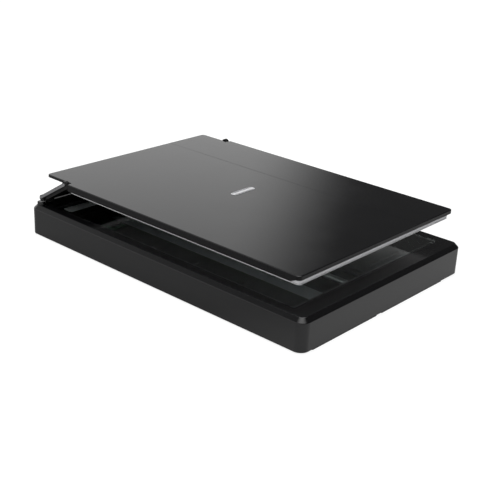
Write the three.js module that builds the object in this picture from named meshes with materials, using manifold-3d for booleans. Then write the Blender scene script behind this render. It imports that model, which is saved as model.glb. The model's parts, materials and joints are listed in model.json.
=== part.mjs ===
// Flatbed document scanner, A4 size, with its lid standing raised and level on the rear bridge hinge.
// Millimetres, +Z up, front of the scanner towards -Y. The origin is under the middle of the base.
import * as THREE from "three";
import { mergeVertices } from "three/addons/utils/BufferGeometryUtils.js";
import Module from "manifold-3d";

const wasm = await Module();
wasm.setup();

// ---- Driving dimensions ----

const gap = 0.3; // clearance between separate pieces
const seat = 0.1; // clearance under a piece that rests on another

// Base case
const baseHalfX = 125.4;
const baseHalfY = 183;
const baseCornerRadius = 9;
const wallThickness = 2.4;
const wallBottomZ = 0.8;
const chamferSize = 3.9;
const bedZ = 32.1;
const bedThickness = 2.4;
const floorInset = wallThickness + 0.6;
const floorBottomZ = 1;
const floorTopZ = 3;

// Glass and the window under it
const glassHalfX = 112.5;
const glassFrontY = -162;
const glassRearY = 156;
const glassThickness = 2.8;
const glassTopZ = bedZ - 0.15;
const glassBottomZ = glassTopZ - glassThickness;
const ledgeWidth = 4;
const ledgeThickness = 2;
const windowFrontY = glassFrontY + ledgeWidth;
const windowRearY = glassRearY - ledgeWidth;

// Lid, given where it stands raised
const lidHalfX = 119.5;
const lidFrontY = -170.8;
const lidRearY = 167.6;
const lidTopZ = 66;
const lidPlateThickness = 2.9;
const lidCornerRadius = 4;
const lidUndersideZ = lidTopZ - lidPlateThickness;
const skirtThickness = 2.5;
const skirtDepth = 7; // lid top to the lower edge of the long sides
const lipThickness = 1.8;
const lipDepth = 4.2; // lid top to the lower edge of the front
const padDepth = 9.6; // lid top to the lowest face of the white mat
const matThickness = 0.7;

// Bridge hinge: a lower rod on the base and an upper pair of pins on the lid
const rodRadius = 1.6;
const rodBoreRadius = 1.9;
const pinRadius = 1.5;
const pinBoreRadius = 1.8;
const bridgeLength = 46;
const barrelRadius = 3.4;
const knuckleRadius = 4.4;
const lowerPivotY = 172.5;
const pivotBelowLidTop = 2.7;
const lidClosedTopZ = bedZ + gap + padDepth;
const lowerPivotZ = lidClosedTopZ - pivotBelowLidTop;
const lidRise = lidTopZ - lidClosedTopZ;
const bridgeAngle = Math.asin(lidRise / bridgeLength);
const upperPivotY = lowerPivotY - bridgeLength * Math.cos(bridgeAngle);
const upperPivotZ = lowerPivotZ + lidRise;
const tongueHalfX = 114.3; // the lid narrows behind the upper pins
const armInnerX = 114.9;
const armOuterX = lidHalfX - 0.9;
const capThickness = 1.2; // closed outer end of each arm's bores
const stripInnerX = armOuterX + seat;
const stripOuterX = lidHalfX;
const lugSpans = [[40.4, 47.6], [104.4, 111.6]];
const barrelSpans = [[0, 40], [48, 104], [112, armOuterX]];

// Sensor carriage at its home place behind the window
const carriageY = 145.5;
const guideRodRadius = 3;
const guideRodZ = 9;
const sensorHalfX = 107;
const sensorHalfY = 6;
const sensorTopZ = 28;
const sensorBottomZ = 20;
const cradleHalfX = 112;
const cradleHalfY = 8.6;
const cradleBottomZ = 13.2;

// Belt drive
const beltCentreX = 30;
const drivePulleyY = 168;
const idlerPulleyY = -171;
const beltInnerRadius = 5.5;
const beltThickness = 0.8;
const beltBottomZ = 5.6;
const beltTopZ = 8.4;
const driveGearRadius = 8.5;
const reductionSmallRadius = 3.5;
const reductionBigRadius = 7.5;
const pinionRadius = 3;
const reductionX = beltCentreX + driveGearRadius + reductionSmallRadius + gap;
const motorX = reductionX + reductionBigRadius + pinionRadius + gap;
const motorRadius = 9;
const axleRadius = 1.2;
const axleBoreRadius = 1.5;

// Screws and feet
const screwX = 118.5;
const screwRows = [-165, 0, 165];

// ---- Materials ----

function plastic(color, roughness) {
  return new THREE.MeshStandardMaterial({ color, roughness, metalness: 0 });
}

function metal(color, roughness) {
  return new THREE.MeshStandardMaterial({ color, roughness, metalness: 1 });
}

const glossBlack = plastic(0x151517, 0.25);
const satinBlack = plastic(0x1c1c1e, 0.45);
const matteBlack = plastic(0x202022, 0.7);
const darkGrey = plastic(0x3a3a3d, 0.6);
const whitePlastic = plastic(0xe8e8ea, 0.6);
const foamWhite = plastic(0xd8d8dc, 0.95);
const rubberBlack = plastic(0x111111, 0.9);
const emblemSilver = metal(0xb8bcc2, 0.35);
const steel = metal(0x9a9da2, 0.3);
const boardGreen = plastic(0x1c5a36, 0.5);
const cableWhite = plastic(0xc9cfd8, 0.5);
const gearWhite = plastic(0xdcdccf, 0.5);
const clearGlass = new THREE.MeshStandardMaterial({
  color: 0xbfd0cc, roughness: 0.05, metalness: 0, transparent: true, opacity: 0.3,
});

// ---- Shape helpers ----

function solidOf(geometry) {
  const bare = geometry.clone();
  bare.deleteAttribute("normal");
  bare.deleteAttribute("uv");
  const merged = mergeVertices(bare, 1e-4);
  return new wasm.Manifold(new wasm.Mesh({
    numProp: 3,
    vertProperties: new Float32Array(merged.attributes.position.array),
    triVerts: new Uint32Array(merged.index.array),
  }));
}

function geometryOf(solid) {
  const mesh = solid.getMesh();
  const geometry = new THREE.BufferGeometry();
  geometry.setAttribute("position", new THREE.BufferAttribute(new Float32Array(mesh.vertProperties), 3));
  geometry.setIndex(new THREE.BufferAttribute(new Uint32Array(mesh.triVerts), 1));
  geometry.computeVertexNormals();
  return geometry;
}

function joined(...solids) {
  return solids.reduce((sum, solid) => sum.add(solid));
}

function cut(body, ...tools) {
  return tools.reduce((rest, tool) => rest.subtract(tool), body);
}

// A box between two corners on each axis.
function block(x0, x1, y0, y1, z0, z1) {
  const geometry = new THREE.BoxGeometry(x1 - x0, y1 - y0, z1 - z0);
  geometry.translate((x0 + x1) / 2, (y0 + y1) / 2, (z0 + z1) / 2);
  return solidOf(geometry);
}

// The same box once on each side of the middle plane.
function mirroredBlocks(x0, x1, y0, y1, z0, z1) {
  return joined(block(x0, x1, y0, y1, z0, z1), block(-x1, -x0, y0, y1, z0, z1));
}

function cylinderX(radius, x0, x1, y, z, sides = 24) {
  const geometry = new THREE.CylinderGeometry(radius, radius, x1 - x0, sides);
  geometry.rotateZ(Math.PI / 2);
  geometry.translate((x0 + x1) / 2, y, z);
  return solidOf(geometry);
}

function cylinderY(radius, y0, y1, x, z, sides = 24) {
  const geometry = new THREE.CylinderGeometry(radius, radius, y1 - y0, sides);
  geometry.translate(x, (y0 + y1) / 2, z);
  return solidOf(geometry);
}

function cylinderZ(radius, z0, z1, x, y, sides = 24) {
  const geometry = new THREE.CylinderGeometry(radius, radius, z1 - z0, sides);
  geometry.rotateX(Math.PI / 2);
  geometry.translate(x, y, (z0 + z1) / 2);
  return solidOf(geometry);
}

// One level of a rounded rectangle, anticlockwise from above.
function roundedRing(x0, x1, y0, y1, radius, z, steps = 6) {
  const corners = [
    [x1 - radius, y1 - radius, 0],
    [x0 + radius, y1 - radius, 1],
    [x0 + radius, y0 + radius, 2],
    [x1 - radius, y0 + radius, 3],
  ];
  const ring = [];
  for (const [centreX, centreY, quarter] of corners) {
    for (let i = 0; i <= steps; i += 1) {
      const angle = (quarter + i / steps) * Math.PI / 2;
      ring.push([centreX + radius * Math.cos(angle), centreY + radius * Math.sin(angle), z]);
    }
  }
  return ring;
}

// A closed body through convex rings of equal length, from the lowest to the highest.
function loft(rings) {
  const count = rings[0].length;
  const last = rings.length - 1;
  const index = [];
  for (let level = 0; level < last; level += 1) {
    for (let i = 0; i < count; i += 1) {
      const a = level * count + i;
      const b = level * count + (i + 1) % count;
      index.push(a, b, b + count, a, b + count, a + count);
    }
  }
  for (let i = 1; i < count - 1; i += 1) {
    index.push(0, i + 1, i);
    index.push(last * count, last * count + i, last * count + i + 1);
  }
  const geometry = new THREE.BufferGeometry();
  geometry.setAttribute("position", new THREE.Float32BufferAttribute(rings.flat(2), 3));
  geometry.setIndex(index);
  return solidOf(geometry);
}

// A slab with rounded upright corners.
function slab(x0, x1, y0, y1, radius, z0, z1, steps = 6) {
  return loft([
    roundedRing(x0, x1, y0, y1, radius, z0, steps),
    roundedRing(x0, x1, y0, y1, radius, z1, steps),
  ]);
}

// The base outline drawn in from the outer walls by an inset.
function baseRing(inset, z) {
  const radius = baseCornerRadius - inset * 0.8;
  return roundedRing(-baseHalfX + inset, baseHalfX - inset, -baseHalfY + inset, baseHalfY - inset, radius, z);
}

// A toothed wheel about a vertical axis.
function gearWheel(outerRadius, teeth, z0, z1, x, y) {
  const toothDepth = 0.9;
  const shape = new THREE.Shape();
  const stepsPerTooth = 4;
  for (let i = 0; i < teeth * stepsPerTooth; i += 1) {
    const angle = (i + 0.5) / (teeth * stepsPerTooth) * Math.PI * 2;
    const radius = i % stepsPerTooth < stepsPerTooth / 2 ? outerRadius : outerRadius - toothDepth;
    const point = [radius * Math.cos(angle), radius * Math.sin(angle)];
    if (i === 0) shape.moveTo(...point);
    else shape.lineTo(...point);
  }
  shape.closePath();
  const geometry = new THREE.ExtrudeGeometry(shape, { depth: z1 - z0, bevelEnabled: false });
  geometry.translate(x, y, z0);
  return solidOf(geometry);
}

class HelixPath extends THREE.Curve {
  constructor(radius, length, turns) {
    super();
    this.radius = radius;
    this.length = length;
    this.turns = turns;
  }

  getPoint(t, target = new THREE.Vector3()) {
    const angle = t * this.turns * Math.PI * 2;
    return target.set(this.radius * Math.cos(angle), this.radius * Math.sin(angle), t * this.length);
  }
}

// A coil spring along +Z from the origin.
function coilSpring(radius, wireRadius, length, turns) {
  const section = new THREE.Shape();
  const sides = 6;
  for (let i = 0; i < sides; i += 1) {
    const angle = i / sides * Math.PI * 2;
    const point = [wireRadius * Math.cos(angle), wireRadius * Math.sin(angle)];
    if (i === 0) section.moveTo(...point);
    else section.lineTo(...point);
  }
  section.closePath();
  const extrudePath = new HelixPath(radius, length, turns);
  return new THREE.ExtrudeGeometry(section, { extrudePath, steps: turns * 10, bevelEnabled: false });
}

const scanner = new THREE.Group();

function addPiece(parent, name, shape, material) {
  const geometry = shape instanceof THREE.BufferGeometry ? shape : geometryOf(shape);
  const mesh = new THREE.Mesh(geometry, material);
  mesh.name = name;
  parent.add(mesh);
  return mesh;
}

// ---- Base case ----

// A fixed ear of the lower hinge, rising from the ridge to the hinge rod.
function hingeLug(x0, x1) {
  const stemTopZ = lowerPivotZ;
  const stem = block(x0, x1, lowerPivotY - barrelRadius, lowerPivotY + barrelRadius, bedZ - 1, stemTopZ);
  return joined(stem, cylinderX(barrelRadius, x0, x1, lowerPivotY, lowerPivotZ));
}

const socketX = -90;
const socketHalfX = 6;
const socketBottomZ = 6.3;
const socketTopZ = 17;

function upperHousing() {
  const outer = loft([
    baseRing(0, wallBottomZ),
    baseRing(0, bedZ - chamferSize),
    baseRing(chamferSize, bedZ),
  ]);
  const cavity = loft([
    baseRing(wallThickness, wallBottomZ - 1),
    baseRing(wallThickness, bedZ - chamferSize - 1),
    baseRing(chamferSize + 1, bedZ - bedThickness),
  ]);
  const ledgeTopZ = glassBottomZ - seat;
  const ledge = slab(-glassHalfX - 3, glassHalfX + 3, glassFrontY - 3, glassRearY + 3, 2,
    ledgeTopZ - ledgeThickness, bedZ - bedThickness + gap);
  const rebate = slab(-glassHalfX - gap, glassHalfX + gap, glassFrontY - gap, glassRearY + gap, 1,
    ledgeTopZ, bedZ + 1);
  const window = slab(-glassHalfX + ledgeWidth, glassHalfX - ledgeWidth, windowFrontY, windowRearY, 1,
    ledgeTopZ - ledgeThickness - 1, bedZ + 1);
  const ridge = slab(-121, 121, lowerPivotY - 4, baseHalfY - 5, 2,
    bedZ - 1, lowerPivotZ - barrelRadius - 0.6);
  let shell = cut(joined(cut(outer, cavity), ledge, ridge), rebate, window);
  for (const [x0, x1] of lugSpans) {
    shell = joined(shell, hingeLug(x0, x1), hingeLug(-x1, -x0));
  }
  for (const y of screwRows) {
    for (const side of [-1, 1]) {
      const boss = cylinderZ(3.2, floorTopZ + gap, bedZ - bedThickness + 0.5, side * screwX, y, 16);
      const pilot = cylinderZ(1.55, floorTopZ, bedZ - 12, side * screwX, y, 12);
      shell = cut(joined(shell, boss), pilot);
    }
  }
  const rodBore = cylinderX(rodBoreRadius, -baseHalfX, baseHalfX, lowerPivotY, lowerPivotZ, 20);
  const socketHole = block(socketX - socketHalfX - 0.6, socketX + socketHalfX + 0.6,
    baseHalfY - 5, baseHalfY + 1, socketBottomZ - 0.6, socketTopZ + 0.6);
  return cut(shell, rodBore, socketHole);
}

// The tray that closes the case from below, with ribs, two cradles for the guide rod,
// four posts under the board and a post that holds the tension spring.
function lowerCase() {
  const rootZ = floorTopZ - 0.5; // everything on the tray starts inside it, so that it joins
  const ribTopZ = 5;
  const ribWidth = 1.6;
  const ribRows = [-120, -60, 0, 60];
  const rodCradles = [[-172, -166], [164, 172]];
  const boardPostColumns = [-109, -55];
  const boardPostRows = [121, 172];
  const boardPostTopZ = 4.3;
  let tray = loft([baseRing(floorInset, floorBottomZ), baseRing(floorInset, floorTopZ)]);
  for (const y of ribRows) {
    tray = joined(tray, mirroredBlocks(60, 112, y, y + ribWidth, rootZ, ribTopZ));
  }
  for (const [y0, y1] of rodCradles) {
    tray = joined(tray, block(-6.5, 6.5, y0, y1, rootZ, guideRodZ));
  }
  tray = cut(tray, cylinderY(guideRodRadius + gap, -175, 175, 0, guideRodZ));
  for (const x of boardPostColumns) {
    for (const y of boardPostRows) {
      tray = joined(tray, cylinderZ(2.2, rootZ, boardPostTopZ, x, y, 12));
    }
  }
  tray = joined(tray, cylinderZ(1.6, rootZ, 7.5, 44, -176.5, 12));
  for (const y of screwRows) {
    for (const side of [-1, 1]) {
      tray = cut(tray,
        cylinderZ(3.4, floorBottomZ - 1, floorBottomZ + 1.3, side * screwX, y, 20),
        cylinderZ(1.7, floorBottomZ, floorTopZ + 1, side * screwX, y, 12));
    }
  }
  return tray;
}

function caseScrew() {
  const headRadius = 3;
  const headBottomZ = floorBottomZ + seat;
  const headTopZ = floorBottomZ + 1.1;
  const profile = [
    new THREE.Vector2(0, headBottomZ),
    new THREE.Vector2(headRadius - 0.6, headBottomZ),
    new THREE.Vector2(headRadius, headBottomZ + 0.4),
    new THREE.Vector2(headRadius, headTopZ),
    new THREE.Vector2(1.25, headTopZ),
    new THREE.Vector2(1.25, 11),
    new THREE.Vector2(0, 12.2),
  ];
  const turned = new THREE.LatheGeometry(profile, 16);
  turned.rotateX(Math.PI / 2); // the profile's axis turns from +Y to +Z
  const screw = solidOf(turned);
  return cut(screw,
    block(-1.6, 1.6, -0.3, 0.3, 0, headBottomZ + 0.6),
    block(-0.3, 0.3, -1.6, 1.6, 0, headBottomZ + 0.6));
}

// A rubber bar under the front edge, with a thin toe that reaches forward under the wall.
function frontFoot(x0, x1) {
  const toeFrontY = -baseHalfY + 0.2;
  const padFrontY = -baseHalfY + wallThickness + 0.2;
  const padRearY = padFrontY + 4.9;
  const pad = block(x0, x1, padFrontY, padRearY, 0, floorBottomZ - seat);
  const toe = block(x0, x1, toeFrontY, padRearY, 0, wallBottomZ - 0.2);
  return joined(pad, toe);
}

function rearFoot(x) {
  const profile = [
    new THREE.Vector2(0, 0),
    new THREE.Vector2(6.4, 0),
    new THREE.Vector2(7, 0.3),
    new THREE.Vector2(7, floorBottomZ - seat),
    new THREE.Vector2(0, floorBottomZ - seat),
  ];
  const turned = new THREE.LatheGeometry(profile, 24);
  turned.rotateX(Math.PI / 2);
  turned.translate(x, 158, 0);
  return solidOf(turned);
}

addPiece(scanner, "upper_housing", upperHousing(), glossBlack);
addPiece(scanner, "lower_case", lowerCase(), matteBlack);
addPiece(scanner, "platen_glass", slab(-glassHalfX, glassHalfX, glassFrontY, glassRearY, 0.8,
  glassBottomZ, glassTopZ, 2), clearGlass);
addPiece(scanner, "calibration_strip", block(-sensorHalfX, sensorHalfX, windowRearY - 14, windowRearY - 1,
  glassBottomZ - 0.45, glassBottomZ - seat), whitePlastic);
let screwNumber = 0;
for (const y of screwRows) {
  for (const side of [-1, 1]) {
    screwNumber += 1;
    const screw = addPiece(scanner, `case_screw_${screwNumber}`, caseScrew(), steel);
    screw.position.set(side * screwX, y, 0);
  }
}
addPiece(scanner, "front_foot_left", frontFoot(-110, -17), rubberBlack);
addPiece(scanner, "front_foot_right", frontFoot(-9, 93), rubberBlack);
addPiece(scanner, "rear_foot_left", rearFoot(-98), rubberBlack);
addPiece(scanner, "rear_foot_right", rearFoot(98), rubberBlack);

// ---- Electronics ----

// The board with its processor, its memory, a connector and four capacitors.
function mainBoard() {
  const boardBottomZ = 4.4;
  const boardTopZ = 6;
  const sunkZ = boardTopZ - 0.2; // the parts start inside the board, so that they join it
  const boxParts = [
    { x: -77, y: 143, length: 14, width: 14, height: 1.4 },
    { x: -99, y: 146, length: 10, width: 12, height: 1.1 },
    { x: -61, y: 124.5, length: 10, width: 5, height: 3.2 },
  ];
  const capacitorPlaces = [[-100, 126], [-91, 126], [-62, 160], [-62, 168]];
  const capacitorRadius = 2.8;
  const capacitorHeight = 5.2;
  let board = block(-113, -51, 117, 176, boardBottomZ, boardTopZ);
  for (const { x, y, length, width, height } of boxParts) {
    board = joined(board, block(x - length / 2, x + length / 2, y - width / 2, y + width / 2,
      sunkZ, boardTopZ + height));
  }
  for (const [x, y] of capacitorPlaces) {
    board = joined(board, cylinderZ(capacitorRadius, sunkZ, boardTopZ + capacitorHeight, x, y, 14));
  }
  return board;
}

// A square data socket whose mouth opens through the rear wall, with a short contact tongue inside.
function usbSocket() {
  const backY = 166.5;
  const mouthBackY = 172;
  const mouthHalfX = 4.3;
  const tongueHalfX = 2.8;
  const body = block(socketX - socketHalfX, socketX + socketHalfX, backY, baseHalfY - 0.4,
    socketBottomZ, socketTopZ);
  const mouth = block(socketX - mouthHalfX, socketX + mouthHalfX, mouthBackY, baseHalfY,
    socketBottomZ + 1.5, socketTopZ - 1.5);
  const tongue = block(socketX - tongueHalfX, socketX + tongueHalfX, mouthBackY - 1, baseHalfY - 5.2,
    10.2, 13.1);
  return joined(cut(body, mouth), tongue);
}

// A fork that the carriage's flag passes through at its home place.
function homeSensor() {
  const x = -20;
  const halfX = 3.2;
  const slotHalfX = 1.2;
  const [frontY, rearY] = [157, 163.5];
  const footTopZ = 6;
  const forkTopZ = 12;
  return joined(
    block(x - halfX, x + halfX, frontY, rearY, floorTopZ + seat, footTopZ),
    block(x - halfX, x - slotHalfX, frontY, rearY, footTopZ - 0.2, forkTopZ),
    block(x + slotHalfX, x + halfX, frontY, rearY, footTopZ - 0.2, forkTopZ));
}

addPiece(scanner, "main_board", mainBoard(), boardGreen);
addPiece(scanner, "usb_socket", usbSocket(), steel);
addPiece(scanner, "home_sensor", homeSensor(), matteBlack);
addPiece(scanner, "flat_cable", block(-44, -24, -140, 150, floorTopZ + seat, floorTopZ + 0.5), cableWhite);

// ---- Guide rod and belt drive ----

function beltLoop() {
  const outer = new THREE.Shape();
  const outerRadius = beltInnerRadius + beltThickness;
  outer.absarc(beltCentreX, drivePulleyY, outerRadius, 0, Math.PI, false);
  outer.absarc(beltCentreX, idlerPulleyY, outerRadius, Math.PI, Math.PI * 2, false);
  outer.closePath();
  const inner = new THREE.Path();
  inner.absarc(beltCentreX, drivePulleyY, beltInnerRadius, 0, Math.PI, false);
  inner.absarc(beltCentreX, idlerPulleyY, beltInnerRadius, Math.PI, Math.PI * 2, false);
  inner.closePath();
  outer.holes.push(inner);
  const depth = beltTopZ - beltBottomZ;
  const geometry = new THREE.ExtrudeGeometry(outer, { depth, bevelEnabled: false, curveSegments: 12 });
  geometry.translate(0, 0, beltBottomZ);
  return solidOf(geometry);
}

// A belt wheel with a flange above and below the belt.
function beltWheel(y) {
  const hubRadius = beltInnerRadius - gap;
  const flangeRadius = beltInnerRadius + 1.4;
  return joined(
    cylinderZ(hubRadius, beltBottomZ - 1, beltTopZ + 1, beltCentreX, y),
    cylinderZ(flangeRadius, beltBottomZ - 1, beltBottomZ - gap - 0.1, beltCentreX, y),
    cylinderZ(flangeRadius, beltTopZ + gap + 0.1, beltTopZ + 1, beltCentreX, y));
}

function drivePulley() {
  return cut(
    joined(
      beltWheel(drivePulleyY),
      cylinderZ(axleBoreRadius + 1.3, beltTopZ, 13.6, beltCentreX, drivePulleyY),
      gearWheel(driveGearRadius, 28, 13.4, 15, beltCentreX, drivePulleyY)),
    cylinderZ(axleBoreRadius, 0, 20, beltCentreX, drivePulleyY, 16));
}

function reductionGear() {
  return cut(
    joined(
      gearWheel(reductionBigRadius, 24, 11, 12.8, reductionX, drivePulleyY),
      gearWheel(reductionSmallRadius, 12, 12.6, 15, reductionX, drivePulleyY)),
    cylinderZ(axleBoreRadius, 0, 20, reductionX, drivePulleyY, 16));
}

function motorPinion() {
  return cut(
    gearWheel(pinionRadius, 10, 10.9, 13.4, motorX, drivePulleyY),
    cylinderZ(0.9, 0, 20, motorX, drivePulleyY, 12));
}

function stepperMotor() {
  return joined(
    cylinderZ(motorRadius, 4.6, 10.3, motorX, drivePulleyY, 32),
    cylinderZ(2.2, 10.2, 10.6, motorX, drivePulleyY, 16),
    cylinderZ(0.6, 10.2, 13.8, motorX, drivePulleyY, 12));
}

function gearPlate() {
  return joined(
    slab(beltCentreX - 5, motorX + 10, drivePulleyY - 9.5, drivePulleyY + 9.5, 2, floorTopZ + seat, 4.3),
    cylinderZ(axleRadius, 4, 15.6, beltCentreX, drivePulleyY, 16),
    cylinderZ(axleRadius, 4, 15.6, reductionX, drivePulleyY, 16));
}

function idlerBracket() {
  const plate = slab(beltCentreX - 6, beltCentreX + 18, idlerPulleyY - 5, idlerPulleyY + 8, 1.5,
    floorTopZ + seat, 4.3);
  const ear = block(beltCentreX + 12, beltCentreX + 17.5, idlerPulleyY + 6, idlerPulleyY + 7.4, 4, 7.6);
  const springRoom = block(beltCentreX + 10.5, beltCentreX + 20, idlerPulleyY - 6, idlerPulleyY + 5.6, 0, 9);
  return joined(
    cut(plate, springRoom),
    ear,
    cylinderZ(axleRadius, 4, 9.8, beltCentreX, idlerPulleyY, 16));
}

addPiece(scanner, "guide_rod", cylinderY(guideRodRadius, -171, 171, 0, guideRodZ), steel);
addPiece(scanner, "drive_belt", beltLoop(), rubberBlack);
addPiece(scanner, "drive_pulley", drivePulley(), gearWhite);
addPiece(scanner, "reduction_gear", reductionGear(), gearWhite);
addPiece(scanner, "motor_pinion", motorPinion(), gearWhite);
addPiece(scanner, "stepper_motor", stepperMotor(), steel);
addPiece(scanner, "gear_plate", gearPlate(), steel);
addPiece(scanner, "idler_pulley", cut(beltWheel(idlerPulleyY),
  cylinderZ(axleBoreRadius, 0, 20, beltCentreX, idlerPulleyY, 16)), gearWhite);
addPiece(scanner, "idler_bracket", idlerBracket(), steel);
const tensionSpring = addPiece(scanner, "tension_spring", coilSpring(1.4, 0.3, 8.6, 5), steel);
tensionSpring.rotation.x = -Math.PI / 2;
tensionSpring.position.set(44, -174.3, 6.2);

// ---- Sensor carriage ----

function carriageFrame() {
  const floorThickness = 1.4;
  const sideThickness = 1.5;
  const cradle = cut(
    block(-cradleHalfX, cradleHalfX, -cradleHalfY, cradleHalfY, cradleBottomZ, 22),
    block(-cradleHalfX + sideThickness, cradleHalfX - sideThickness, -cradleHalfY + sideThickness,
      cradleHalfY - sideThickness, cradleBottomZ + floorThickness, 23));
  const bearing = block(-14, 14, -12, 12, 5.4, cradleBottomZ + 0.5);
  const beltRunX = beltCentreX - beltInnerRadius - beltThickness;
  const clampTop = block(13, beltRunX + 2.4, -5, 5, beltTopZ + 0.6, cradleBottomZ + 0.5);
  const clampInner = block(beltRunX - 1.6, beltRunX - gap, -5, 5, beltBottomZ, beltTopZ + 1);
  const clampOuter = block(beltRunX + beltThickness + gap, beltRunX + 2.4, -5, 5, beltBottomZ, beltTopZ + 1);
  const flag = block(-20.5, -19.5, 8, 16.5, 8, cradleBottomZ + 0.5);
  const flagArm = block(-20.5, -13, 8, 11.5, 10, cradleBottomZ + 0.5);
  return cut(
    joined(cradle, bearing, clampTop, clampInner, clampOuter, flag, flagArm),
    cylinderY(guideRodRadius + 0.2, -20, 20, 0, guideRodZ));
}

function sensorHousing() {
  return cut(
    block(-sensorHalfX, sensorHalfX, -sensorHalfY, sensorHalfY, sensorBottomZ, sensorTopZ),
    block(-105.5, 105.5, -1.6, 1.6, sensorTopZ - 3, sensorTopZ + 1),
    block(-105.5, 105.5, -5.1, -2.7, sensorTopZ - 2.4, sensorTopZ + 1));
}

const carriage = new THREE.Group();
carriage.position.y = carriageY;
scanner.add(carriage);
addPiece(carriage, "carriage_frame", carriageFrame(), matteBlack);
addPiece(carriage, "sensor_housing", sensorHousing(), satinBlack);
addPiece(carriage, "lens_array", block(-105, 105, -1.2, 1.2, sensorTopZ - 2.8, sensorTopZ - 0.2), darkGrey);
addPiece(carriage, "light_guide", block(-105, 105, -4.8, -3, sensorTopZ - 2.2, sensorTopZ - 0.1),
  whitePlastic);
addPiece(carriage, "sensor_board", block(-106, 106, -5.4, 5.4, 18.4, sensorBottomZ - seat), boardGreen);
for (const [side, word] of [[-1, "left"], [1, "right"]]) {
  const spring = addPiece(carriage, `sensor_spring_${word}`, coilSpring(2.4, 0.32, 2.9, 3), steel);
  spring.position.set(side * 85, 0, 15.05);
  addPiece(carriage, `glide_pad_${word}`, block(side * 106.4 - 0.5, side * 106.4 + 0.5, -4, 4,
    sensorTopZ + seat, sensorTopZ + 0.4), whitePlastic);
}

// ---- Bridge hinge ----

// The bridge lies flat in this frame: the lower rod is the X axis and the lid's pins are towards -Y.
const flangeBottom = -0.4;
const armTop = 2.16;

function hingeBridge() {
  const webTop = -1.3;
  const webBottom = -3.7;
  const webFrontY = -38;
  const armWall = 2;
  let bridge = block(-armInnerX - armWall, armInnerX + armWall, webFrontY, -0.5, webBottom, webTop);
  bridge = joined(bridge,
    mirroredBlocks(armInnerX, armOuterX, -bridgeLength, 0, flangeBottom, armTop),
    mirroredBlocks(armInnerX, armInnerX + armWall, -bridgeLength, 0, webBottom, armTop));
  for (const [x0, x1] of lugSpans) {
    bridge = cut(bridge, mirroredBlocks(x0 - 0.4, x1 + 0.4, -barrelRadius - 1, 6, -6, 6));
  }
  for (const [x0, x1] of barrelSpans) {
    bridge = joined(bridge, cylinderX(barrelRadius, x0, x1, 0, 0), cylinderX(barrelRadius, -x1, -x0, 0, 0));
  }
  for (const side of [-1, 1]) {
    const inner = Math.min(side * armInnerX, side * armOuterX);
    bridge = joined(bridge, cylinderX(knuckleRadius, inner, inner + armOuterX - armInnerX, -bridgeLength, 0));
  }
  const boreEndX = armOuterX - capThickness;
  return cut(bridge,
    cylinderX(rodBoreRadius, -boreEndX, boreEndX, 0, 0, 20),
    cylinderX(pinBoreRadius, -boreEndX, boreEndX, -bridgeLength, 0, 20));
}

// A bright strip along the outer side of an arm, with rounded ends.
function armStrip(side) {
  const middleZ = (flangeBottom + armTop) / 2;
  const halfHeight = (armTop - flangeBottom) / 2;
  const x0 = Math.min(side * stripInnerX, side * stripOuterX);
  const x1 = x0 + stripOuterX - stripInnerX;
  return joined(
    block(x0, x1, -bridgeLength, 0, flangeBottom, armTop),
    cylinderX(halfHeight, x0, x1, 0, middleZ, 20),
    cylinderX(halfHeight, x0, x1, -bridgeLength, middleZ, 20));
}

const bridgeGroup = new THREE.Group();
bridgeGroup.position.set(0, lowerPivotY, lowerPivotZ);
bridgeGroup.rotation.x = -bridgeAngle;
scanner.add(bridgeGroup);
addPiece(bridgeGroup, "hinge_bridge", hingeBridge(), satinBlack);
addPiece(bridgeGroup, "arm_strip_left", armStrip(-1), steel);
addPiece(bridgeGroup, "arm_strip_right", armStrip(1), steel);
const pinOuterX = armOuterX - capThickness - gap;
addPiece(scanner, "hinge_rod", cylinderX(rodRadius, -pinOuterX, pinOuterX, lowerPivotY, lowerPivotZ, 20),
  steel);

// ---- Lid ----

const skirtRearY = upperPivotY - knuckleRadius - 1;
const padRearY = upperPivotY - knuckleRadius - 0.6;
const pinInnerX = 106.4;

// One long side of the lid's rim, sloping up at its front end to meet the front lip.
function sideSkirt(x0) {
  const lipBottomZ = lidTopZ - lipDepth;
  const skirtBottomZ = lidTopZ - skirtDepth;
  const startY = lidFrontY + lidCornerRadius;
  const side = new THREE.Shape();
  side.moveTo(startY, lipBottomZ);
  side.lineTo(startY + 2 * (skirtDepth - lipDepth), skirtBottomZ);
  side.lineTo(skirtRearY, skirtBottomZ);
  side.lineTo(skirtRearY, lidUndersideZ + 0.5);
  side.lineTo(startY, lidUndersideZ + 0.5);
  const geometry = new THREE.ExtrudeGeometry(side, { depth: skirtThickness, bevelEnabled: false });
  const standing = new THREE.Matrix4().makeBasis(
    new THREE.Vector3(0, 1, 0), new THREE.Vector3(0, 0, 1), new THREE.Vector3(1, 0, 0));
  geometry.applyMatrix4(standing);
  geometry.translate(x0, 0, 0);
  return solidOf(geometry);
}

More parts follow.
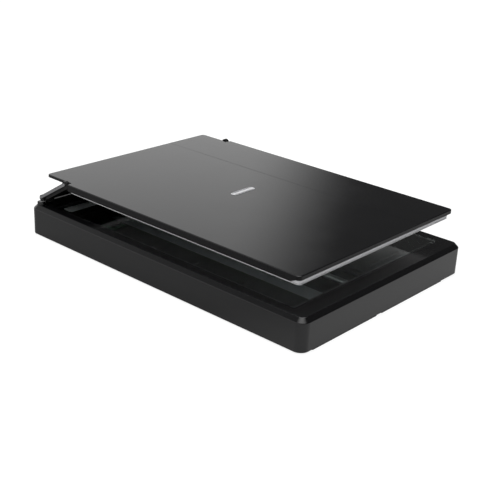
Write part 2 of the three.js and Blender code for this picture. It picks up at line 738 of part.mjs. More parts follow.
function lidPanel() {
  const notchFrontY = upperPivotY - knuckleRadius - 0.4;
  const wholePlate = slab(-lidHalfX, lidHalfX, lidFrontY, notchFrontY + 20, lidCornerRadius,
    lidUndersideZ, lidTopZ);
  const tongue = slab(-tongueHalfX, tongueHalfX, 0, lidRearY, lidCornerRadius, lidUndersideZ, lidTopZ);
  const notches = mirroredBlocks(tongueHalfX, lidHalfX + 1, notchFrontY, notchFrontY + 30,
    lidUndersideZ - 1, lidTopZ + 1);
  const plate = cut(joined(wholePlate, tongue), notches);
  const lip = cut(
    slab(-lidHalfX, lidHalfX, lidFrontY, lidFrontY + 20, lidCornerRadius,
      lidTopZ - lipDepth, lidUndersideZ + 0.5),
    slab(-lidHalfX + lipThickness, lidHalfX - lipThickness, lidFrontY + lipThickness, lidFrontY + 30,
      lidCornerRadius - lipThickness, 0, lidTopZ));
  const lugs = mirroredBlocks(pinInnerX - 0.4, tongueHalfX - 0.6, upperPivotY - 3.8, upperPivotY + 3.8,
    upperPivotZ - 3.2, lidUndersideZ + 0.5);
  const grooveX = 58.9;
  const grooveWidth = 0.5;
  const grooveDepth = 0.3;
  const groove = block(grooveX - grooveWidth / 2, grooveX + grooveWidth / 2,
    lidFrontY - 1, lidRearY + 1,
    lidTopZ - grooveDepth, lidTopZ + 1);
  const pinBore = cylinderX(pinBoreRadius, pinInnerX - 1, tongueHalfX + 1, upperPivotY, upperPivotZ, 20);
  const pinBoreLeft = cylinderX(pinBoreRadius, -tongueHalfX - 1, -pinInnerX + 1,
    upperPivotY, upperPivotZ, 20);
  return cut(
    joined(plate, lip, sideSkirt(-lidHalfX), sideSkirt(lidHalfX - skirtThickness), lugs),
    groove, pinBore, pinBoreLeft);
}

// A plain mark on the lid: an oval ring crossed by one broad bar.
function lidBadge() {
  const halfLength = 16;
  const halfWidth = 3.6;
  const band = 0.7;
  const barHalfWidth = 2;
  const bottomZ = lidTopZ + 0.02;
  const topZ = lidTopZ + 0.35;
  const ring = cut(
    slab(-halfLength, halfLength, -halfWidth, halfWidth, halfWidth - 0.01, bottomZ, topZ, 10),
    slab(-halfLength + band, halfLength - band, -halfWidth + band, halfWidth - band,
      halfWidth - band - 0.01, bottomZ - 1, topZ + 1, 10));
  const bar = block(-halfLength + band * 2, halfLength - band * 2, -barHalfWidth, barHalfWidth,
    bottomZ, topZ);
  return joined(ring, bar);
}

addPiece(scanner, "lid_panel", lidPanel(), glossBlack);
addPiece(scanner, "foam_pad", slab(-116.3, 116.3, lidFrontY + 2.5, padRearY, 3,
  lidTopZ - padDepth + matThickness + seat, lidUndersideZ - seat), foamWhite);
addPiece(scanner, "document_mat", slab(-116.3, 116.3, lidFrontY + 2.5, padRearY, 3,
  lidTopZ - padDepth, lidTopZ - padDepth + matThickness), whitePlastic);
addPiece(scanner, "lid_badge", lidBadge(), emblemSilver);
addPiece(scanner, "lid_pin_left", cylinderX(pinRadius, -pinOuterX, -pinInnerX, upperPivotY, upperPivotZ, 20),
  steel);
addPiece(scanner, "lid_pin_right", cylinderX(pinRadius, pinInnerX, pinOuterX, upperPivotY, upperPivotZ, 20),
  steel);

export default scanner;
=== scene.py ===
# Looks for the flatbed scanner: studio, camera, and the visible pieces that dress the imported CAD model.
import json
import math

import bmesh
import bpy
from mathutils import Matrix, Vector


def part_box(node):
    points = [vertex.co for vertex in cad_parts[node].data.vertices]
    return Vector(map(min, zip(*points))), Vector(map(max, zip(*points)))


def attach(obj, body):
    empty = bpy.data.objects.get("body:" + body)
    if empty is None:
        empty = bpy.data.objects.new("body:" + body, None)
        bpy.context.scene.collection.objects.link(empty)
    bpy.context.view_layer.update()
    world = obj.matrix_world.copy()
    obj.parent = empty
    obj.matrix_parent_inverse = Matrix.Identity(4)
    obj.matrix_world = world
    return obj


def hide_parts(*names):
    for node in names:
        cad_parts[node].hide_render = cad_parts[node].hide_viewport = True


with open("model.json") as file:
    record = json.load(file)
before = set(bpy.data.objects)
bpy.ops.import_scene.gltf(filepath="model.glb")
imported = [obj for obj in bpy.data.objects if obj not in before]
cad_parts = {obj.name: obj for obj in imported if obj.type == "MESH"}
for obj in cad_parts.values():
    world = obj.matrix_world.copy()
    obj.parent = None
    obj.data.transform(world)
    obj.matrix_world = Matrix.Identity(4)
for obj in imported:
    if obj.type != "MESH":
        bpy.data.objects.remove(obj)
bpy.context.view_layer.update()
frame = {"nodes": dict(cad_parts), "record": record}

MM = 0.001

# ---- Studio ----

CAMERA_PLACE = (-0.6912, -0.6079, 0.3908)
CAMERA_AZIMUTH = math.radians(49.3)  # turned from +Y towards +X
CAMERA_PITCH = math.radians(22.87)  # looking down
CAMERA_ROLL = math.radians(2.92)
CAMERA_LENS = 69.96

FLOOR_SIZE = 40.0
FLOOR_COLOUR = (0.22, 0.22, 0.22, 1.0)
FLOOR_GLOW = 0.85
FLOOR_GLOW_LIT = 0.47
FLOOR_GLOW_SHADED = 0.2
FLOOR_SHADE_FROM = -0.08
FLOOR_SHADE_TO = 0.06
FLOOR_SHADE_DIRECTION = (1.0, -1.0, 0.0)  # towards the lit side


def make_camera():
    camera = bpy.data.objects.new("camera", bpy.data.cameras.new("camera"))
    camera.data.lens = CAMERA_LENS
    camera.data.sensor_width = 36.0
    camera.data.clip_end = 100.0
    forward = Vector((
        math.sin(CAMERA_AZIMUTH) * math.cos(CAMERA_PITCH),
        math.cos(CAMERA_AZIMUTH) * math.cos(CAMERA_PITCH),
        -math.sin(CAMERA_PITCH),
    ))
    turn = forward.to_track_quat("-Z", "Y").to_matrix()
    right = turn @ Vector((1, 0, 0))
    up = turn @ Vector((0, 1, 0))
    tilted_right = right * math.cos(CAMERA_ROLL) + up * math.sin(CAMERA_ROLL)
    tilted_up = up * math.cos(CAMERA_ROLL) - right * math.sin(CAMERA_ROLL)
    matrix = turn.to_4x4()
    for row in range(3):
        matrix[row][0] = tilted_right[row]
        matrix[row][1] = tilted_up[row]
        matrix[row][3] = CAMERA_PLACE[row]
    camera.matrix_world = matrix
    bpy.context.scene.collection.objects.link(camera)
    bpy.context.scene.camera = camera


def smooth_ramp(tree, source, start, end, low, high):
    """Eases from low to high while the source goes from start to end."""
    ramp = tree.nodes.new("ShaderNodeMapRange")
    ramp.interpolation_type = "SMOOTHSTEP"
    ramp.inputs["From Min"].default_value = start
    ramp.inputs["From Max"].default_value = end
    ramp.inputs["To Min"].default_value = low
    ramp.inputs["To Max"].default_value = high
    tree.links.new(source, ramp.inputs["Value"])
    return ramp.outputs["Result"]


def distance_along(tree, place, direction):
    """How far a place lies in one direction."""
    product = tree.nodes.new("ShaderNodeVectorMath")
    product.operation = "DOT_PRODUCT"
    product.inputs[1].default_value = direction
    tree.links.new(place, product.inputs[0])
    return product.outputs["Value"]


def calculated(tree, operation, first, second):
    """The sum or product of two values, each a socket or a plain number."""
    node = tree.nodes.new("ShaderNodeMath")
    node.operation = operation
    for socket, value in ((node.inputs[0], first), (node.inputs[1], second)):
        if isinstance(value, float):
            socket.default_value = value
        else:
            tree.links.new(value, socket)
    return node.outputs[0]


def add_floor_glow(tree, shader):
    """The floor looks evenly white, and lights the object less from its shaded rear left."""
    place = tree.nodes.new("ShaderNodeTexCoord").outputs["Object"]
    glow = smooth_ramp(tree, distance_along(tree, place, FLOOR_SHADE_DIRECTION),
                       FLOOR_SHADE_FROM, FLOOR_SHADE_TO, FLOOR_GLOW_SHADED, FLOOR_GLOW_LIT)
    path = tree.nodes.new("ShaderNodeLightPath")
    mix = tree.nodes.new("ShaderNodeMix")
    mix.inputs["B"].default_value = FLOOR_GLOW
    tree.links.new(glow, mix.inputs["A"])
    tree.links.new(path.outputs["Is Camera Ray"], mix.inputs["Factor"])
    tree.links.new(mix.outputs["Result"], shader.inputs["Emission Strength"])


def make_floor():
    half = FLOOR_SIZE / 2
    mesh = bpy.data.meshes.new("studio_floor")
    corners = [(-half, -half, 0), (half, -half, 0), (half, half, 0), (-half, half, 0)]
    mesh.from_pydata(corners, [], [(0, 1, 2, 3)])
    floor = bpy.data.objects.new("studio_floor", mesh)
    bpy.context.scene.collection.objects.link(floor)
    material = bpy.data.materials.new("studio_floor")
    material.use_nodes = True
    shader = material.node_tree.nodes["Principled BSDF"]
    shader.inputs["Base Color"].default_value = FLOOR_COLOUR
    shader.inputs["Roughness"].default_value = 0.9
    shader.inputs["Specular IOR Level"].default_value = 0.1
    shader.inputs["Emission Color"].default_value = (1.0, 1.0, 1.0, 1.0)
    add_floor_glow(material.node_tree, shader)
    mesh.materials.append(material)


SIDE_LIGHT = 0.083
OVERHEAD_LIGHT = 4.4
BACKDROP_LIGHT = 1.4
OVERHEAD_HEIGHTS = (0.74, 0.97)  # the sky heights between which the panel fades in
BACKDROP_HEIGHTS = (0.85, 0.14)  # the sky heights between which the backdrop fades in, from the top down
BACKDROP_EDGE_LOW = (37.4, 19.9)  # two headings on the backdrop's right edge, in degrees
BACKDROP_EDGE_HIGH = (38.2, 23.8)
BACKDROP_EDGE_FADE = (-0.05, 0.07)
PALE = (0.97, 0.97, 0.98, 1.0)


def heading(azimuth, elevation):
    """The direction at these angles in degrees, with the azimuth turned from +X towards +Y."""
    level = math.cos(math.radians(elevation))
    return Vector((
        level * math.cos(math.radians(azimuth)),
        level * math.sin(math.radians(azimuth)),
        math.sin(math.radians(elevation)),
    ))


def sky_strength(tree):
    """The light from each direction: a dim room, a panel overhead and a backdrop behind the left side."""
    place = tree.nodes.new("ShaderNodeTexCoord").outputs["Generated"]
    parts = tree.nodes.new("ShaderNodeSeparateXYZ")
    tree.links.new(place, parts.inputs[0])
    height = parts.outputs["Z"]
    overhead = smooth_ramp(tree, height, *OVERHEAD_HEIGHTS, 0.0, OVERHEAD_LIGHT)
    edge_normal = heading(*BACKDROP_EDGE_HIGH).cross(heading(*BACKDROP_EDGE_LOW)).normalized()
    if edge_normal.y < 0:
        edge_normal.negate()
    sideways = smooth_ramp(tree, distance_along(tree, place, edge_normal), *BACKDROP_EDGE_FADE, 0.0, 1.0)
    upwards = smooth_ramp(tree, height, *BACKDROP_HEIGHTS, 0.0, BACKDROP_LIGHT)
    backdrop = calculated(tree, "MULTIPLY", sideways, upwards)
    return calculated(tree, "ADD", calculated(tree, "ADD", overhead, backdrop), SIDE_LIGHT)


def make_world():
    """A studio sky that lights the object unevenly and looks evenly pale to the camera."""
    world = bpy.data.worlds.new("studio")
    bpy.context.scene.world = world
    world.use_nodes = True
    tree = world.node_tree
    tree.nodes.clear()
    lit = tree.nodes.new("ShaderNodeBackground")
    tree.links.new(sky_strength(tree), lit.inputs["Strength"])
    seen = tree.nodes.new("ShaderNodeBackground")
    seen.inputs["Color"].default_value = PALE
    path = tree.nodes.new("ShaderNodeLightPath")
    mix = tree.nodes.new("ShaderNodeMixShader")
    tree.links.new(path.outputs["Is Camera Ray"], mix.inputs[0])
    tree.links.new(lit.outputs[0], mix.inputs[1])
    tree.links.new(seen.outputs[0], mix.inputs[2])
    output = tree.nodes.new("ShaderNodeOutputWorld")
    tree.links.new(mix.outputs[0], output.inputs["Surface"])


# ---- Materials ----


class Surface:
    """A material with its shader, object-space coordinates and short ways to add procedural detail."""

    def __init__(self, name, colour, roughness, **constants):
        self.material = bpy.data.materials.new(name)
        self.material.use_nodes = True
        self.tree = self.material.node_tree
        self.shader = self.tree.nodes["Principled BSDF"]
        self.shader.inputs["Base Color"].default_value = (*colour, 1.0)
        self.shader.inputs["Roughness"].default_value = roughness
        for socket, value in constants.items():
            self.shader.inputs[socket.replace("_", " ")].default_value = value
        self.place = self.node("ShaderNodeTexCoord").outputs["Object"]
        self.height = None

    def node(self, kind, **settings):
        made = self.tree.nodes.new(kind)
        for key, value in settings.items():
            setattr(made, key, value)
        return made

    def link(self, source, target):
        self.tree.links.new(source, target)

    def stretched(self, scale):
        mapping = self.node("ShaderNodeMapping")
        mapping.inputs["Scale"].default_value = scale
        self.link(self.place, mapping.inputs["Vector"])
        return mapping.outputs["Vector"]

    def noise(self, scale, detail=2.0, stretch=(1, 1, 1)):
        texture = self.node("ShaderNodeTexNoise")
        texture.inputs["Scale"].default_value = scale
        texture.inputs["Detail"].default_value = detail
        self.link(self.stretched(stretch), texture.inputs["Vector"])
        return texture.outputs["Fac"]

    def cells(self, scale):
        texture = self.node("ShaderNodeTexVoronoi")
        texture.inputs["Scale"].default_value = scale
        self.link(self.place, texture.inputs["Vector"])
        return texture.outputs["Distance"]

    def ranged(self, source, low, high, to_low, to_high):
        ramp = self.node("ShaderNodeMapRange")
        ramp.inputs["From Min"].default_value = low
        ramp.inputs["From Max"].default_value = high
        ramp.inputs["To Min"].default_value = to_low
        ramp.inputs["To Max"].default_value = to_high
        self.link(source, ramp.inputs["Value"])
        return ramp.outputs["Result"]

    def rough(self, source, low, high):
        self.link(self.ranged(source, 0.3, 0.7, low, high), self.shader.inputs["Roughness"])
        return self

    def tint(self, source, dark, light, low=0.3, high=0.7):
        mix = self.node("ShaderNodeMix", data_type="RGBA")
        mix.inputs["A"].default_value = (*dark, 1.0)
        mix.inputs["B"].default_value = (*light, 1.0)
        self.link(self.ranged(source, low, high, 0.0, 1.0), mix.inputs["Factor"])
        self.link(mix.outputs["Result"], self.shader.inputs["Base Color"])
        return self

    def bump(self, source, distance, strength=1.0):
        node = self.node("ShaderNodeBump")
        node.inputs["Distance"].default_value = distance
        node.inputs["Strength"].default_value = strength
        self.link(source, node.inputs["Height"])
        if self.height is not None:
            self.link(self.height, node.inputs["Normal"])
        self.height = node.outputs["Normal"]
        self.link(self.height, self.shader.inputs["Normal"])
        return self


def gloss_black(name, base, roughness, shine=0.5):
    """Polished black ABS: faint orange peel, fine dust and handling haze in the gloss."""
    surface = Surface(name, base, roughness, Specular_IOR_Level=shine)
    surface.rough(surface.noise(38.0, 4.0), roughness * 0.85, roughness * 1.3)
    dust = surface.noise(1500.0, 3.0)
    surface.tint(dust, base, tuple(channel * 1.8 + 0.004 for channel in base), 0.55, 0.8)
    surface.bump(surface.noise(420.0, 1.0), 0.00002, 0.35)
    return surface.material


def moulded_black(name, base, roughness):
    """Spark-eroded black plastic with an even fine grain."""
    surface = Surface(name, base, roughness)
    surface.rough(surface.noise(60.0, 3.0), roughness * 0.9, min(1.0, roughness * 1.15))
    surface.tint(surface.noise(900.0, 2.0), base, tuple(channel * 1.5 for channel in base))
    surface.bump(surface.noise(2600.0, 2.0), 0.00006, 0.6)
    return surface.material


def rubber():
    surface = Surface("foot_rubber", (0.014, 0.014, 0.014), 0.85)
    surface.tint(surface.noise(500.0, 3.0), (0.011, 0.011, 0.011), (0.03, 0.03, 0.03))
    surface.bump(surface.cells(1800.0), 0.00008, 0.6)
    return surface.material


def belt_rubber():
    surface = Surface("belt_rubber", (0.012, 0.012, 0.012), 0.7)
    surface.bump(surface.noise(900.0, 2.0, (0.3, 3.0, 1.0)), 0.0001, 0.7)
    return surface.material


def white_film():
    """The lid's calendered white sheet."""
    surface = Surface("mat_film", (0.86, 0.86, 0.87), 0.45)
    surface.tint(surface.noise(14.0, 3.0), (0.83, 0.83, 0.845), (0.88, 0.88, 0.885))
    surface.bump(surface.noise(1400.0, 2.0), 0.00003, 0.5)
    return surface.material


def foam():
    surface = Surface("pad_foam", (0.8, 0.8, 0.82), 0.95)
    # The pits of the cells are painted darker: painted shade in the foam's pores.
    surface.tint(surface.cells(1600.0), (0.66, 0.66, 0.69), (0.86, 0.86, 0.88), 0.1, 0.6)
    surface.bump(surface.cells(1600.0), 0.0003, 0.8)
    return surface.material


def steel(name="zinc_steel", stretch=(1, 60, 60), dark=(0.5, 0.51, 0.53), light=(0.62, 0.63, 0.64)):
    surface = Surface(name, light, 0.32, Metallic=1.0)
    lines = surface.noise(160.0, 3.0, stretch)
    surface.rough(lines, 0.22, 0.45)
    surface.tint(surface.noise(30.0, 2.0), dark, light)
    surface.bump(lines, 0.00002, 0.5)
    return surface.material


def silver_print():
    surface = Surface("emblem_silver", (0.58, 0.58, 0.6), 0.4)
    surface.rough(surface.noise(800.0, 2.0), 0.35, 0.5)
    surface.bump(surface.noise(2500.0, 1.0), 0.00002, 0.4)
    return surface.material


def float_glass():
    surface = Surface("float_glass", (0.93, 0.98, 0.96), 0.0, Transmission_Weight=1.0, IOR=1.52)
    surface.rough(surface.noise(45.0, 4.0), 0.0, 0.035)
    return surface.material


def circuit_board(top_z):
    """Green mask below the given height, dark parts above it, with fine track-like lines."""
    surface = Surface("circuit_board", (0.02, 0.13, 0.05), 0.4)
    axes = surface.node("ShaderNodeSeparateXYZ")
    surface.link(surface.place, axes.inputs[0])
    part = surface.ranged(axes.outputs["Z"], top_z, top_z + 0.1 * MM, 0.0, 1.0)
    tracks = surface.node("ShaderNodeTexBrick")
    tracks.inputs["Color1"].default_value = (0.018, 0.12, 0.045, 1)
    tracks.inputs["Color2"].default_value = (0.024, 0.15, 0.06, 1)
    tracks.inputs["Mortar"].default_value = (0.05, 0.23, 0.1, 1)
    tracks.inputs["Scale"].default_value = 260.0
    tracks.inputs["Mortar Size"].default_value = 0.02
    surface.link(surface.place, tracks.inputs["Vector"])
    mix = surface.node("ShaderNodeMix", data_type="RGBA")
    mix.inputs["B"].default_value = (0.03, 0.03, 0.034, 1)
    surface.link(tracks.outputs["Color"], mix.inputs["A"])
    surface.link(part, mix.inputs["Factor"])
    surface.link(mix.outputs["Result"], surface.shader.inputs["Base Color"])
    surface.bump(surface.noise(1200.0, 2.0), 0.00005, 0.4)
    return surface.material


def film_cable():
    """White ribbon cable with its conductors showing as lengthwise lines."""
    surface = Surface("film_cable", (0.72, 0.74, 0.78), 0.35)
    lines = surface.node("ShaderNodeTexWave", bands_direction="X")
    lines.inputs["Scale"].default_value = 160.0
    surface.link(surface.place, lines.inputs["Vector"])
    surface.tint(lines.outputs["Fac"], (0.5, 0.53, 0.58), (0.8, 0.81, 0.84), 0.4, 0.6)
    surface.bump(lines.outputs["Fac"], 0.00005, 0.5)
    return surface.material


def acetal():
    surface = Surface("gear_acetal", (0.78, 0.77, 0.7), 0.4)
    surface.tint(surface.noise(300.0, 3.0), (0.74, 0.73, 0.66), (0.82, 0.81, 0.75))
    surface.bump(surface.noise(1500.0, 1.0), 0.00004, 0.4)
    return surface.material


def lens_resin():
    surface = Surface("lens_resin", (0.05, 0.05, 0.06), 0.12)
    rods = surface.node("ShaderNodeTexWave", bands_direction="X")
    rods.inputs["Scale"].default_value = 550.0
    surface.link(surface.place, rods.inputs["Vector"])
    surface.tint(rods.outputs["Fac"], (0.03, 0.03, 0.035), (0.16, 0.17, 0.2))
    return surface.material


def acrylic():
    surface = Surface("guide_acrylic", (0.85, 0.88, 0.9), 0.08, Subsurface_Weight=0.2)
    surface.rough(surface.noise(400.0, 2.0), 0.05, 0.15)
    return surface.material


MASK_HEIGHT = 1.7 * MM  # from the main board's underside to just above its top face
ABOVE_EVERYTHING = 1.0  # the sensor board has no dark parts on top

MATERIALS = {
    "lid_gloss": gloss_black("lid_gloss", (0.005, 0.005, 0.0055), 0.11),
    "case_gloss": gloss_black("case_gloss", (0.004, 0.004, 0.0045), 0.14),
    # A duller, darker copy of the lid's black for the lid's upright faces: painted shade on its sides.
    "lid_rim_painted_shade": gloss_black("lid_rim_painted_shade", (0.004, 0.004, 0.0045), 0.3, 0.2),
    "hinge_satin": gloss_black("hinge_satin", (0.004, 0.004, 0.0045), 0.36, 0.22),
    "case_matte": moulded_black("case_matte", (0.022, 0.022, 0.023), 0.6),
    "sensor_satin": moulded_black("sensor_satin", (0.014, 0.014, 0.015), 0.4),
    "rubber": rubber(),
    "belt": belt_rubber(),
    "white_film": white_film(),
    "foam": foam(),
    "steel": steel(),
    "rod_steel": steel("ground_steel", (60, 1, 60)),
    "strip": steel("strip_steel", (60, 1, 60), (0.27, 0.27, 0.28), (0.36, 0.36, 0.37)),
    "emblem": silver_print(),
    "glass": float_glass(),
    "main_board": circuit_board(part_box("main_board")[0][2] + MASK_HEIGHT),
    "sensor_board": circuit_board(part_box("sensor_board")[1][2] + ABOVE_EVERYTHING),
    "cable": film_cable(),
    "acetal": acetal(),
    "lens": lens_resin(),
    "acrylic": acrylic(),
}

BODY_OF = {node: body for body, nodes in frame["record"]["behaviour"]["bodies"].items() for node in nodes}


# ---- Mesh tools ----


def fillet(points, radii, steps=4, closed=False):
    """A 2D line whose corners are turned into arcs. A corner's radius may be zero."""
    result = []
    count = len(points)
    for index, (point, radius) in enumerate(zip(points, radii)):
        at_end = not closed and index in (0, count - 1)
        if at_end or radius <= 0:
            result.append(point)
            continue
        corner = Vector(point)
        back = (Vector(points[index - 1]) - corner).normalized()
        ahead = (Vector(points[(index + 1) % count]) - corner).normalized()
        half_angle = back.angle(ahead) / 2
        start = corner + back * (radius / math.tan(half_angle))
        end = corner + ahead * (radius / math.tan(half_angle))
        centre = corner + (back + ahead).normalized() * (radius / math.sin(half_angle))
        turn = (start - centre).angle_signed(end - centre)
        for step in range(steps + 1):
            offset = (start - centre).copy()
            offset.rotate(Matrix.Rotation(-turn * step / steps, 2))
            result.append(tuple(centre + offset))
    return result


def rectangle_ring(x0, x1, y0, y1, radius, z, steps=10):
    """A level ring round a rectangle with round corners."""
    corners = [(x0, y0), (x1, y0), (x1, y1), (x0, y1)]
    return [(x, y, z) for x, y in fillet(corners, [radius] * len(corners), steps, closed=True)]


def loft(name, rings, closed=False):
    """A closed mesh through rings of equal length, capped at both ends or joined end to end."""
    size = len(rings[0])
    points = [tuple(value * MM for value in point) for ring in rings for point in ring]
    faces = []
    if any(len(ring) != size for ring in rings):
        raise ValueError(f"{name}: the rings differ in length")
    for row in range(len(rings) if closed else len(rings) - 1):
        below = row * size
        above = (row + 1) % len(rings) * size
        for column in range(size):
            following = (column + 1) % size
            faces.append((below + column, below + following, above + following, above + column))
    if not closed:
        faces.append(tuple(reversed(range(size))))
        faces.append(tuple(range((len(rings) - 1) * size, len(rings) * size)))
    return linked(name, points, faces)


def linked(name, points, faces):
    mesh = bpy.data.meshes.new(name)
    mesh.from_pydata(points, [], faces)
    cleaned = bmesh.new()
    cleaned.from_mesh(mesh)
    bmesh.ops.recalc_face_normals(cleaned, faces=cleaned.faces)
    cleaned.to_mesh(mesh)
    cleaned.free()
    piece = bpy.data.objects.new(name, mesh)
    bpy.context.scene.collection.objects.link(piece)
    return piece


ROUNDING_SHARE = 0.42  # of the space between two crisp edges, the most that one rounding takes
LEAST_SHARE = 0.05  # of the full width, the narrowest rounding


def round_edges(mesh, width, least_angle):
    """Weights every crisp edge for a bevel of width in metres, and less where another runs close to it."""
    work = bmesh.new()
    work.from_mesh(mesh)
    weights = work.edges.layers.float.new("bevel_weight_edge")
    crisp = {edge for edge in work.edges
             if len(edge.link_faces) == 2 and edge.calc_face_angle(0.0) > math.radians(least_angle)}
    groups = {}
    for edge in crisp:
        nearest = width / ROUNDING_SHARE
        for face in edge.link_faces:
            for other in face.edges:
                if other is edge or other not in crisp or set(other.verts) & set(edge.verts):
                    continue
                nearest = min(nearest, edge_distance(edge, other))
        share = min(1.0, nearest * ROUNDING_SHARE / width)
        groups.setdefault(round(share, 1), []).append(edge)
    for share, edges in groups.items():
        for edge in edges:
            edge[weights] = max(share, LEAST_SHARE)
    work.to_mesh(mesh)
    work.free()


def edge_distance(first, second):
    """The least distance between two edges, taken at points along both."""
    stations = [0.0, 0.25, 0.5, 0.75, 1.0]
    a, b = first.verts[0].co, first.verts[1].co
    c, d = second.verts[0].co, second.verts[1].co
    nearest = float("inf")
    for station in stations:
        for start, end, point in ((a, b, c.lerp(d, station)), (c, d, a.lerp(b, station))):
            along = end - start
            share = max(0.0, min(1.0, (point - start).dot(along) / max(along.length_squared, 1e-16)))
            nearest = min(nearest, (point - start - along * share).length)
    return nearest


def bake(piece):
    """Applies the modifiers of a piece to its mesh."""
    graph = bpy.context.evaluated_depsgraph_get()
    mesh = bpy.data.meshes.new_from_object(piece.evaluated_get(graph))
    piece.modifiers.clear()
    piece.data = mesh


def combine(piece, operation, *tools):
    """Unites a piece with closed tool shapes, or cuts them from it, and removes the tools."""
    for tool in tools:
        modifier = piece.modifiers.new("combine", "BOOLEAN")
        modifier.operation = operation
        modifier.solver = "EXACT"
        modifier.object = tool
        bake(piece)
        bpy.data.objects.remove(tool)


def box_shape(x0, x1, y0, y1, z0, z1):
    return loft("tool", [[(x0, y0, z), (x1, y0, z), (x1, y1, z), (x0, y1, z)] for z in (z0, z1)])


LEVEL = 0.0001 * MM  # the most that the two ends of an upright rim may differ


def prism_x(outline, x0, x1, edge):
    """An outline of (y, z) points drawn out along X, with its end rims rounded."""
    piece = loft("tool", [[(x, y, z) for y, z in outline] for x in (x0, x1)])
    if edge > 0:
        work = bmesh.new()
        work.from_mesh(piece.data)
        rims = [e for e in work.edges if abs(e.verts[0].co.x - e.verts[1].co.x) < LEVEL]
        bmesh.ops.bevel(work, geom=rims, offset=edge * MM, segments=3, profile=0.5, affect="EDGES",
                        clamp_overlap=True)
        work.to_mesh(piece.data)
        work.free()
    return piece


def circle(radius, y, z, count=40):
    turn = 2 * math.pi / count
    return [(y + radius * math.cos(turn * i), z + radius * math.sin(turn * i)) for i in range(count)]


SMOOTH_DEGREES = 32.0


def dress(piece, node, material, smooth_degrees=SMOOTH_DEGREES):
    """Gives a finished piece its surface, clean shading and body, and hides the CAD node it stands for."""
    piece.data.materials.clear()
    piece.data.materials.append(MATERIALS[material])
    for polygon in piece.data.polygons:
        polygon.use_smooth = True
    piece.data.set_sharp_from_angle(angle=math.radians(smooth_degrees))
    shading = piece.modifiers.new("even_shading", "WEIGHTED_NORMAL")
    shading.keep_sharp = True
    shading.weight = 100
    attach(piece, BODY_OF[node])
    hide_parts(node)
    return piece


# ---- Pieces ----


CRISP_DEGREES = 28.0
JOIN_DISTANCE = 0.002 * MM


def refined(node, name, material, edge):
    """A fine copy of a CAD node: flat faces made whole again, and its crisp edges rounded by edge metres."""
    mesh = bpy.data.meshes.new(name)
    cleaned = bmesh.new()
    cleaned.from_mesh(frame["nodes"][node].data)
    bmesh.ops.remove_doubles(cleaned, verts=cleaned.verts, dist=JOIN_DISTANCE)
    bmesh.ops.dissolve_limit(cleaned, angle_limit=math.radians(1.0), verts=cleaned.verts, edges=cleaned.edges)
    bmesh.ops.recalc_face_normals(cleaned, faces=cleaned.faces)
    cleaned.to_mesh(mesh)
    cleaned.free()
    round_edges(mesh, edge, CRISP_DEGREES)
    piece = bpy.data.objects.new(name, mesh)
    bpy.context.scene.collection.objects.link(piece)
    bevel = piece.modifiers.new("rounded_edges", "BEVEL")
    bevel.width = edge
    bevel.segments = 3
    bevel.limit_method = "WEIGHT"
    bevel.use_clamp_overlap = False
    return dress(piece, node, material)


def finish_node(node, material):
    """Gives a kept CAD node its surface and, once its triangles are joined, softened edges."""
    target = frame["nodes"][node]
    if not target.material_slots:
        target.data.materials.append(None)
    for slot in target.material_slots:
        slot.link = "OBJECT"
        slot.material = MATERIALS[material]
    weld = target.modifiers.new("joined_triangles", "WELD")
    weld.merge_threshold = JOIN_DISTANCE
    bevel = target.modifiers.new("softened_edges", "BEVEL")
    bevel.width = 0.12 * MM
    bevel.segments = 2
    bevel.limit_method = "ANGLE"
    bevel.angle_limit = math.radians(SMOOTH_DEGREES)
    bevel.harden_normals = True


def millimetres(node):
    """The low and high corners of a CAD node's box, in mm."""
    low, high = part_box(node)
    return [value / MM for value in low], [value / MM for value in high]


HOUSING_LOW, HOUSING_HIGH = millimetres("upper_housing")
GLASS_LOW, GLASS_HIGH = millimetres("platen_glass")
LID_LOW, LID_HIGH = millimetres("lid_panel")
ROD_LOW, ROD_HIGH = millimetres("hinge_rod")
SOCKET_LOW, SOCKET_HIGH = millimetres("usb_socket")
GLASS_GAP = 0.3
WALL = 2.4
CHAMFER = 3.9
BED_Z = GLASS_HIGH[2] + 0.15
BED_THICKNESS = 2.4
CASE_RADIUS = 9.0
ROD_Y = (ROD_LOW[1] + ROD_HIGH[1]) / 2
ROD_Z = (ROD_LOW[2] + ROD_HIGH[2]) / 2
BARREL_RADIUS = 3.4
ROD_BORE_RADIUS = 1.9
LUG_SPANS = [(40.4, 47.6), (104.4, 111.6)]  # the right lugs along X, which the left ones mirror
LUG_EDGE = 0.35


def case_ring(inset, z):
    return rectangle_ring(HOUSING_LOW[0] + inset, HOUSING_HIGH[0] - inset, HOUSING_LOW[1] + inset,
                          HOUSING_HIGH[1] - inset, CASE_RADIUS - inset, z)


def bed_ring(inset, z):
    reach = inset - GLASS_GAP
    return rectangle_ring(GLASS_LOW[0] + reach, GLASS_HIGH[0] - reach, GLASS_LOW[1] + reach,
                          GLASS_HIGH[1] - reach, max(0.4, 1.2 - inset), z)


